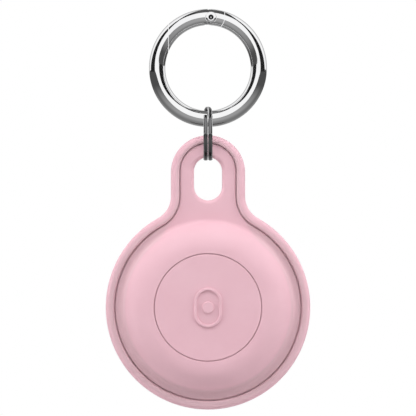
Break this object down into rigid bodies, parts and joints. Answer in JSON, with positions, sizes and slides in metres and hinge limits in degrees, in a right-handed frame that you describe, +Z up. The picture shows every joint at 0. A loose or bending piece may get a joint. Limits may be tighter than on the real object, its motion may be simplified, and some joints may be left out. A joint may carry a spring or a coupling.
{
  "type": "tracker tag holder",
  "caption": "Keyhole-shaped silicone case around a coin-sized tracker, its front layer opening on a flexing neck, hung by a split ring from a chrome spring-gate ring.",
  "frame": {"origin": "centre of the spring ring's opening, where the holder hangs", "axes": "+Z up along the hanging line, the front face looks along -Y, +X to the right seen from the front"},
  "size_m": [0.0416, 0.0117, 0.0815],
  "materials": {
    "chrome": "mirror-plated steel",
    "spring_steel": "bright spring steel",
    "pink_silicone": "matte moulded silicone",
    "white_plastic": "glossy white",
    "dark_plastic": "matte moulded",
    "board": "solder resist",
    "cell_steel": "polished stainless",
    "magnet": "nickel plated",
    "copper": "enamelled copper wire"
  },
  "bodies": {
    "key_ring": {"ring_body": "chrome"},
    "gate": {"ring_gate": "chrome", "hinge_rivet": "chrome", "gate_spring": "spring_steel"},
    "plunger": {"gate_plunger": "spring_steel"},
    "link": {"split_ring": "chrome"},
    "holder": {"rear_shell": "pink_silicone", "front_cover_neck": "pink_silicone", "tag_front_shell": "white_plastic", "tag_inner_frame": "dark_plastic", "tag_circuit_board": "board", "tag_coin_cell": "cell_steel", "tag_battery_contacts": "spring_steel", "tag_sounder_magnet": "magnet", "tag_sounder_coil": "copper", "tag_battery_cover": "cell_steel"},
    "cover": {"front_cover": "pink_silicone", "centre_disc": "pink_silicone"}
  },
  "joints": [
    {"name": "gate_hinge", "type": "hinge", "parent": "key_ring", "child": "gate", "pos_m": [0.00061, 0, 0.01033], "axis": [0, -1, 0], "range_deg": [0, 35], "stiffness_Nm_per_rad": 0.0004, "springref_deg": -28.65},
    {"name": "plunger_slide", "type": "slide", "parent": "gate", "child": "plunger", "axis": [-0.9903, 0, -0.1392], "range_m": [0, 0.00056], "deforming": ["gate_spring"]},
    {"name": "link_travel", "type": "hinge", "parent": "key_ring", "child": "link", "pos_m": [0, 0, 0], "axis": [0, -1, 0], "range_deg": [-100, 100]},
    {"name": "holder_swing", "type": "hinge", "parent": "link", "child": "holder", "pos_m": [0, 0, -0.01337], "axis": [1, 0, 0], "range_deg": [-60, 60]},
    {"name": "cover_hinge", "type": "hinge", "parent": "holder", "child": "cover", "pos_m": [0, -0.0016, -0.02805], "axis": [-1, 0, 0], "range_deg": [0, 100], "stiffness_Nm_per_rad": 0.001, "springref_deg": -11.46}
  ],
  "couplings": [
    {"joint": "plunger_slide", "follows": "gate_hinge", "m_per_rad": 0.0009}
  ]
}
